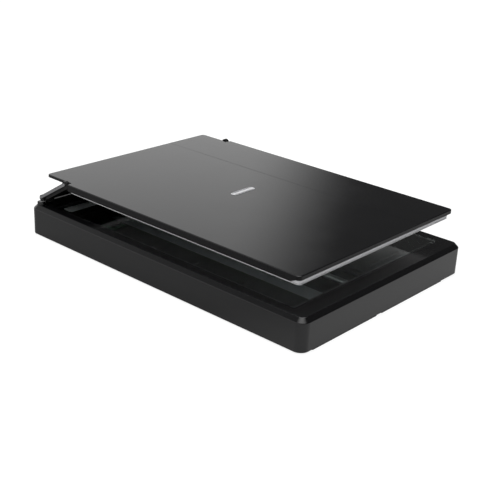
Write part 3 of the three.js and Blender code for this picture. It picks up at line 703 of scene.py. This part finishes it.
def case_shell():
    """The black upper housing as one wall swept round: skirt, chamfer, bed, glass seat and window."""
    floor_z = HOUSING_LOW[2]
    seat_z = GLASS_LOW[2] - 0.1
    ledge, ledge_thickness = 4.3, 2
    outside = fillet(
        [(WALL, floor_z), (0, floor_z), (0, BED_Z - CHAMFER), (CHAMFER, BED_Z), (CHAMFER + 3, BED_Z)],
        [0, 0.5, 0.9, 0.7, 0])
    seat = fillet(
        [(-1.5, BED_Z), (0, BED_Z), (0, seat_z), (ledge, seat_z), (ledge, seat_z - ledge_thickness),
         (-3, seat_z - ledge_thickness), (-3, BED_Z - BED_THICKNESS)],
        [0, 0.3, 0.2, 0.4, 0.4, 0.4, 0])
    inside = [(CHAMFER + 1, BED_Z - BED_THICKNESS), (WALL, BED_Z - CHAMFER - 1)]
    rings = [case_ring(inset, z) for inset, z in outside]
    rings += [bed_ring(inset, z) for inset, z in seat]
    rings += [case_ring(inset, z) for inset, z in inside]
    shell = loft("case_shell", rings, closed=True)
    combine(shell, "UNION", hinge_ridge())
    for low, high in LUG_SPANS:
        combine(shell, "UNION", prism_x(lug_outline(), low, high, LUG_EDGE),
                prism_x(lug_outline(), -high, -low, LUG_EDGE))
    rod_bore = circle(ROD_BORE_RADIUS, ROD_Y, ROD_Z)
    combine(shell, "DIFFERENCE", prism_x(rod_bore, HOUSING_LOW[0], HOUSING_HIGH[0], 0))
    combine(shell, "DIFFERENCE", socket_mouth())
    merge(shell, screw_bosses())
    return dress(shell, "upper_housing", "case_gloss")


def hinge_ridge():
    """The raised ridge along the rear of the case, under the hinge."""
    top = ROD_Z - BARREL_RADIUS - 0.6
    sides = fillet([(0, BED_Z - 1), (0, top), (1.5, top)], [0, 0.7, 0])
    half_width, front, rear, radius = 121, ROD_Y - 4, HOUSING_HIGH[1] - 5, 2.5
    return loft("tool", [
        rectangle_ring(-half_width + inset, half_width - inset, front + inset, rear - inset,
                       radius - inset, z)
        for inset, z in sides])


def lug_outline():
    """The side view of a case lug that holds the hinge rod: a stem with a round top."""
    steps = 24
    turn = math.pi / steps
    dome = [(ROD_Y + BARREL_RADIUS * math.cos(turn * i), ROD_Z + BARREL_RADIUS * math.sin(turn * i))
            for i in range(steps + 1)]
    stem = [(ROD_Y - BARREL_RADIUS, BED_Z - 0.5), (ROD_Y + BARREL_RADIUS, BED_Z - 0.5)]
    return stem + dome


def socket_mouth():
    """The opening round the cable socket in the rear wall, as a cutting tool."""
    gap = 0.6
    return box_shape(
        SOCKET_LOW[0] - gap, SOCKET_HIGH[0] + gap, HOUSING_HIGH[1] - 5, HOUSING_HIGH[1] + 1,
        SOCKET_LOW[2] - gap, SOCKET_HIGH[2] + gap)


def screw_bosses():
    """A boss over each of the six case screws, from near the floor up to the bed."""
    bosses = []
    for number in range(1, 7):
        low, high = millimetres(f"case_screw_{number}")
        x, y = (low[0] + high[0]) / 2, (low[1] + high[1]) / 2
        bosses.append(tube(x, y, 3.2, 1.55, 3.3, BED_Z - BED_THICKNESS + 0.4))
    return bosses


def tube(x, y, outer, bore, z0, z1, count=28):
    """A screw boss, bored for most of its height."""
    def ring(radius, z):
        turn = 2 * math.pi / count
        return [(x + radius * math.cos(turn * i), y + radius * math.sin(turn * i), z) for i in range(count)]
    end = z1 - 7
    tip = 0.05
    levels = [(tip, end), (bore, end), (bore, z0), (outer, z0), (outer, z1), (tip, z1)]
    return loft("tool", [ring(radius, z) for radius, z in levels])


def close_gaps(piece):
    """Joins corners that the cuts left a hair apart, and fills the small gaps that remain."""
    work = bmesh.new()
    work.from_mesh(piece.data)
    bmesh.ops.remove_doubles(work, verts=work.verts, dist=JOIN_DISTANCE)
    bmesh.ops.dissolve_degenerate(work, edges=work.edges, dist=JOIN_DISTANCE)
    bmesh.ops.holes_fill(work, edges=[edge for edge in work.edges if edge.is_boundary])
    bmesh.ops.recalc_face_normals(work, faces=work.faces)
    work.to_mesh(piece.data)
    work.free()


def merge(piece, parts):
    """Adds closed parts to a piece's mesh and removes them."""
    whole = bmesh.new()
    whole.from_mesh(piece.data)
    for part in parts:
        whole.from_mesh(part.data)
        bpy.data.objects.remove(part)
    whole.to_mesh(piece.data)
    whole.free()


PIN_LOW, PIN_HIGH = millimetres("lid_pin_right")
UPPER_Y = (PIN_LOW[1] + PIN_HIGH[1]) / 2
UPPER_Z = (PIN_LOW[2] + PIN_HIGH[2]) / 2
PLATE = 2.9
LID_RADIUS = 4.0
TONGUE_X = 114.3
NOTCH_Y = UPPER_Y - 4.8
SKIRT_WIDTH = 2.5
LIP_WIDTH = 1.8
LIP_DEPTH = 4.2
LUG_INNER_X = 106
UPRIGHT = 0.35  # faces whose normal rises less than this count as the lid's rim, which gets a darker copy of the lid's black as painted shade
LID_TOP = LID_HIGH[2]


def lid_ring(inset, z):
    """The lid's outline with its narrower tongue between the hinge arms."""
    x0, x1 = LID_LOW[0] + inset, LID_HIGH[0] - inset
    front, rear = LID_LOW[1] + inset, LID_HIGH[1] - inset
    tongue = TONGUE_X - inset
    notch = NOTCH_Y - inset
    corners = [(x0, front), (x1, front), (x1, notch), (tongue, notch), (tongue, rear), (-tongue, rear),
               (-tongue, notch), (x0, notch)]
    round_corner, notch_corner, inner_corner = LID_RADIUS - inset, 1.5 - inset, 0.6 + inset
    radii = [round_corner, round_corner, notch_corner, inner_corner, round_corner, round_corner,
             inner_corner, notch_corner]
    return [(x, y, z) for x, y in fillet(corners, radii, 8, closed=True)]


ROOT = 0.5  # how far the parts under the plate reach up into it


def lid_skirts(under):
    """The side skirts, with a sloping front end that meets the front lip."""
    front, rear = LID_LOW[1] + LID_RADIUS, UPPER_Y - 5.4
    slope_end = front + 2 * (LID_TOP - LID_LOW[2] - LIP_DEPTH)
    side = fillet(
        [(front, LID_TOP - LIP_DEPTH), (slope_end, LID_LOW[2]), (rear, LID_LOW[2]), (rear, under + ROOT),
         (front, under + ROOT)],
        [0, 1.5, 1.0, 0, 0], 4, closed=True)
    return (prism_x(side, LID_LOW[0], LID_LOW[0] + SKIRT_WIDTH, 0.3),
            prism_x(side, LID_HIGH[0] - SKIRT_WIDTH, LID_HIGH[0], 0.3))


def front_lip(under):
    """The lip that turns down along the front edge and round both front corners."""
    low_z = LID_TOP - LIP_DEPTH
    lip = loft("tool", [
        rectangle_ring(LID_LOW[0] + inset, LID_HIGH[0] - inset, LID_LOW[1] + inset, LID_LOW[1] + 20,
                       LID_RADIUS - inset, z)
        for inset, z in fillet([(0.5, low_z), (0, low_z), (0, under + ROOT)], [0, 0.3, 0])])
    combine(lip, "DIFFERENCE", loft("tool", [
        rectangle_ring(LID_LOW[0] + LIP_WIDTH, LID_HIGH[0] - LIP_WIDTH, LID_LOW[1] + LIP_WIDTH,
                       LID_LOW[1] + 30, LID_RADIUS - LIP_WIDTH, z) for z in (low_z - 1, LID_TOP)]))
    return lip


def pin_lugs(under):
    """The two blocks under the tongue that hold the lid's pins."""
    half_length, depth, corner = 3.8, 3.2, 2.2
    lug = fillet(
        [(UPPER_Y - half_length, under + ROOT), (UPPER_Y - half_length, UPPER_Z - depth),
         (UPPER_Y + half_length, UPPER_Z - depth), (UPPER_Y + half_length, under + ROOT)],
        [0, corner, corner, 0], 5, closed=True)
    outer = TONGUE_X - 0.6
    return prism_x(lug, LUG_INNER_X, outer, 0.3), prism_x(lug, -outer, -LUG_INNER_X, 0.3)


def scored_line():
    """A narrow V along the right of the lid, as a cutting tool."""
    middle, half_width, half_bottom, depth = 58.9, 0.5, 0.03, 0.15
    levels = [(half_bottom, LID_TOP - depth), (half_width, LID_TOP), (half_width, LID_TOP + 1)]
    front, rear = LID_LOW[1] - 1, LID_HIGH[1] + 1
    return loft("tool", [
        [(middle - half, front, z), (middle + half, front, z),
         (middle + half, rear, z), (middle - half, rear, z)] for half, z in levels])


def lid_cover():
    """The thin lid plate with rounded edges, its scored line, front lip, side skirts and pin lugs."""
    under = LID_TOP - PLATE
    edge = fillet([(0.6, under), (0, under), (0, LID_TOP), (1.2, LID_TOP)], [0, 0.3, 0.8, 0], 5)
    cover = loft("lid_cover", [lid_ring(inset, z) for inset, z in edge])
    combine(cover, "UNION", *lid_skirts(under))
    combine(cover, "UNION", front_lip(under))
    combine(cover, "UNION", *pin_lugs(under))
    bore = circle(1.8, UPPER_Y, UPPER_Z, 28)
    bore_inner_x, bore_outer_x = LUG_INNER_X - 0.6, TONGUE_X + 1
    for start, end in ((bore_inner_x, bore_outer_x), (-bore_outer_x, -bore_inner_x)):
        combine(cover, "DIFFERENCE", prism_x(bore, start, end, 0))
    combine(cover, "DIFFERENCE", scored_line())
    close_gaps(cover)
    dress(cover, "lid_panel", "lid_gloss")
    # The upright faces get the duller, darker copy of the lid's black: painted shade on the lid's sides.
    cover.data.materials.append(MATERIALS["lid_rim_painted_shade"])
    for polygon in cover.data.polygons:
        if abs(polygon.normal.z) < UPRIGHT:
            polygon.material_index = 1
    return cover


def foam_core():
    """The lid's foam: a cut sheet whose sides swell a little between the plate and the film."""
    low, high = millimetres("foam_pad")
    levels = 9
    swell = 0.45
    ripple = 0.09
    longest = 7
    rings = []
    for level in range(levels):
        share = level / (levels - 1)
        inset = 0.1 + swell * (2 * share - 1) ** 2
        z = low[2] + (high[2] - low[2]) * share
        outline = rectangle_ring(low[0] + inset, high[0] - inset, low[1] + inset, high[1] - inset, 3, z, 8)
        ring = []
        for x, y, level_z in subdivided(outline, longest):
            across = ripple * math.sin(y * 0.21 + share * 2.0) * math.copysign(1, x) * min(1, abs(x) / 100)
            along = ripple * math.sin(x * 0.17 + share * 3.0) * math.copysign(1, y)
            ring.append((x + across, y + along, level_z))
        rings.append(ring)
    pad = dress(loft("pad_core", rings), "foam_pad", "foam", 50.0)
    return pad


def subdivided(ring, longest):
    """A ring with extra points along its long straight stretches, at most longest mm apart."""
    result = []
    for index, point in enumerate(ring):
        following = ring[(index + 1) % len(ring)]
        start, end = Vector(point), Vector(following)
        pieces = max(1, math.ceil((end - start).length / longest))
        for piece in range(pieces):
            result.append(tuple(start.lerp(end, piece / pieces)))
    return result


def bed_glass():
    """The float glass with ground edges."""
    bottom, top = GLASS_LOW[2], GLASS_HIGH[2]
    arris = 0.35
    levels = [(arris, bottom), (0.08, bottom + arris * 0.6), (0, bottom + arris), (0, top - arris),
              (0.08, top - arris * 0.6), (arris, top)]
    return dress(loft("bed_glass", [
        rectangle_ring(GLASS_LOW[0] + inset, GLASS_HIGH[0] - inset, GLASS_LOW[1] + inset,
                       GLASS_HIGH[1] - inset, 1.0, z, 6) for inset, z in levels]), "platen_glass", "glass")


def pad_film():
    """The white sheet on the underside of the foam."""
    low, high = millimetres("document_mat")
    edge = fillet([(0.6, low[2]), (0, low[2]), (0, high[2]), (0.6, high[2])], [0, 0.25, 0.25, 0], 3)
    return dress(loft("pad_film", [
        rectangle_ring(low[0] + inset, high[0] - inset, low[1] + inset, high[1] - inset, 3.2 - inset, z)
        for inset, z in edge]), "document_mat", "white_film")


def lid_mark():
    """The plain mark on the lid: an oval ring crossed by one broad bar, with softened edges."""
    low, high = millimetres("lid_badge")
    band, bar_half_width, bar_end, softening = 0.7, 2.0, 0.45, 0.1
    half_width = (high[1] - low[1]) / 2
    section = fillet([(0, low[2]), (0, high[2]), (band, high[2]), (band, low[2])],
                     [0, softening, softening, 0], 3, closed=True)
    ring = loft("lid_mark", [
        rectangle_ring(low[0] + inset, high[0] - inset, low[1] + inset, high[1] - inset,
                       half_width - inset - 0.01, z, 14) for inset, z in section], closed=True)
    bar_top = high[2] - 0.04
    bar_sides = [(0, low[2] + 0.01), (0, bar_top - softening), (softening, bar_top)]
    combine(ring, "UNION", loft("tool", [
        rectangle_ring(low[0] + bar_end + inset, high[0] - bar_end - inset, inset - bar_half_width,
                       bar_half_width - inset, 0.6 - inset, z, 4) for inset, z in bar_sides]))
    return dress(ring, "lid_badge", "emblem")


REFINED = [
    ("lower_case", "case_tray", "case_matte", 0.25 * MM),
    ("front_foot_left", "foot_bar_left", "rubber", 0.3 * MM),
    ("front_foot_right", "foot_bar_right", "rubber", 0.3 * MM),
    ("rear_foot_left", "foot_pad_left", "rubber", 0.15 * MM),
    ("rear_foot_right", "foot_pad_right", "rubber", 0.15 * MM),
    ("usb_socket", "cable_socket", "steel", 0.15 * MM),
    ("hinge_bridge", "bridge_plate", "hinge_satin", 0.3 * MM),
    ("arm_strip_left", "strip_left", "strip", 0.25 * MM),
    ("arm_strip_right", "strip_right", "strip", 0.25 * MM),
    ("carriage_frame", "carriage_body", "case_matte", 0.2 * MM),
    ("sensor_housing", "sensor_case", "sensor_satin", 0.3 * MM),
]

CARRIED = {
    "calibration_strip": "white_film",
    "main_board": "main_board",
    "home_sensor": "case_matte",
    "flat_cable": "cable",
    "guide_rod": "rod_steel",
    "drive_belt": "belt",
    "stepper_motor": "steel",
    "gear_plate": "steel",
    "idler_bracket": "steel",
    "tension_spring": "steel",
    "hinge_rod": "steel",
    "lid_pin_left": "steel",
    "lid_pin_right": "steel",
    "lens_array": "lens",
    "light_guide": "acrylic",
    "sensor_board": "sensor_board",
    "sensor_spring_left": "steel",
    "sensor_spring_right": "steel",
    "glide_pad_left": "acetal",
    "glide_pad_right": "acetal",
    "drive_pulley": "acetal",
    "reduction_gear": "acetal",
    "motor_pinion": "acetal",
    "idler_pulley": "acetal",
}

make_camera()
make_floor()
make_world()
bpy.context.scene.view_settings.view_transform = "Standard"

case_shell()
bed_glass()
lid_cover()
foam_core()
pad_film()
lid_mark()
for node, name, material, edge in REFINED:
    refined(node, name, material, edge)
for node, material in CARRIED.items():
    finish_node(node, material)
for node in frame["nodes"]:
    if node.startswith("case_screw_"):
        finish_node(node, "steel")
